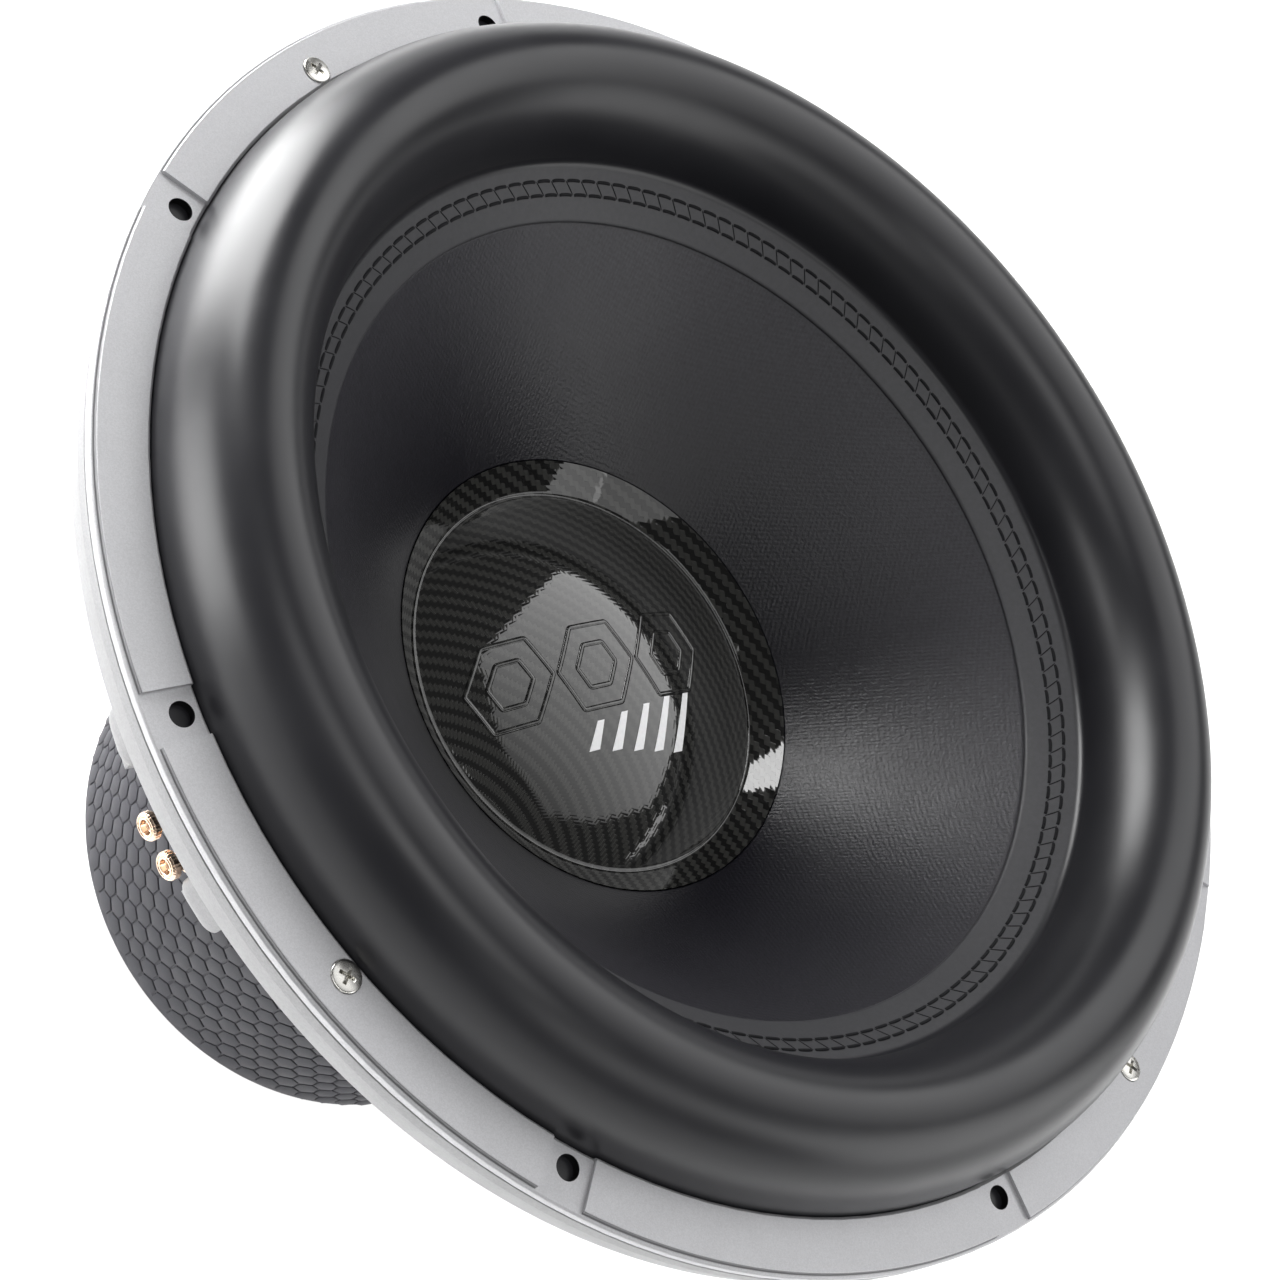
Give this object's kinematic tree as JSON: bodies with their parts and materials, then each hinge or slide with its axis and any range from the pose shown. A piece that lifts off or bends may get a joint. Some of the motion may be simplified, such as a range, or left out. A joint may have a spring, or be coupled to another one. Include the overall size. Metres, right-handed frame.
{
  "type": "car subwoofer loudspeaker",
  "caption": "Round woofer for a car: cast frame with trim ring, large roll surround, paper cone, carbon cap, boxed motor and push terminals.",
  "frame": {"origin": "centre of the motor's rear face, on the axis of the cone", "axes": "+Z along the axis, the way the cone fires; +X towards one mounting hole"},
  "size_m": [0.4699, 0.47, 0.3254],
  "materials": {
    "frame_paint": "satin silver paint on cast aluminium",
    "trim_paint": "satin silver paint on cast aluminium",
    "zinc_screw": "bright zinc plate",
    "foam": "smooth satin black skin",
    "paper_pulp": "matt black fibre",
    "carbon_lacquer": "twill weave under clear lacquer",
    "former": "thin amber wound sleeve",
    "copper_wire": "enamelled copper wire",
    "copper_sleeve": "polished copper",
    "spider_cloth": "resin-dipped woven cloth",
    "black_plastic": "moulded black",
    "plated_steel": "zinc plated",
    "black_steel": "black oxide",
    "ferrite": "ground ferrite",
    "boot_rubber": "honeycomb moulded rubber",
    "gold_plate": "gold plated",
    "spring_steel": "spring wire",
    "tinsel_braid": "braided copper tinsel"
  },
  "bodies": {
    "frame": {"basket": "frame_paint", "trim_ring": "trim_paint", "trim_screws": "zinc_screw", "spider_spacer": "black_plastic", "top_plate": "plated_steel", "motor_bolts": "black_steel", "magnet_1": "ferrite", "magnet_2": "ferrite", "magnet_3": "ferrite", "magnet_4": "ferrite", "pole_yoke": "plated_steel", "shorting_sleeve": "copper_sleeve", "vent_screen": "black_steel", "motor_boot": "boot_rubber", "terminal_block_a": "black_plastic", "terminal_block_b": "black_plastic", "post_a1": "gold_plate", "post_a2": "gold_plate", "post_b1": "gold_plate", "post_b2": "gold_plate", "spring_a1": "spring_steel", "spring_a2": "spring_steel", "spring_b1": "spring_steel", "spring_b2": "spring_steel", "terminal_screws": "zinc_screw", "tinsel_lead_a1": "tinsel_braid", "tinsel_lead_a2": "tinsel_braid", "tinsel_lead_b1": "tinsel_braid", "tinsel_lead_b2": "tinsel_braid"},
    "cone": {"surround": "foam", "cone_body": "paper_pulp", "dust_cap": "carbon_lacquer", "coil_former": "former", "winding_inner": "copper_wire", "winding_outer": "copper_wire", "spider_lower": "spider_cloth", "spider_upper": "spider_cloth"},
    "button_a1": {"button_a1": "gold_plate"},
    "button_a2": {"button_a2": "gold_plate"},
    "button_b1": {"button_b1": "gold_plate"},
    "button_b2": {"button_b2": "gold_plate"}
  },
  "joints": [
    {"name": "cone_stroke", "type": "slide", "parent": "frame", "child": "cone", "axis": [0, 0, 1], "range_m": [-0.02, 0.02], "stiffness_N_per_m": 15000, "deforming": ["surround", "spider_lower", "spider_upper"]},
    {"name": "button_a1_press", "type": "slide", "parent": "frame", "child": "button_a1", "axis": [-0.628, -0.7782, 0], "range_m": [0, 0.004], "stiffness_N_per_m": 800, "deforming": ["spring_a1"]},
    {"name": "button_a2_press", "type": "slide", "parent": "frame", "child": "button_a2", "axis": [-0.628, -0.7782, 0], "range_m": [0, 0.004], "stiffness_N_per_m": 800, "deforming": ["spring_a2"]},
    {"name": "button_b1_press", "type": "slide", "parent": "frame", "child": "button_b1", "axis": [0.628, 0.7782, 0], "range_m": [0, 0.004], "stiffness_N_per_m": 800, "deforming": ["spring_b1"]},
    {"name": "button_b2_press", "type": "slide", "parent": "frame", "child": "button_b2", "axis": [0.628, 0.7782, 0], "range_m": [0, 0.004], "stiffness_N_per_m": 800, "deforming": ["spring_b2"]}
  ]
}
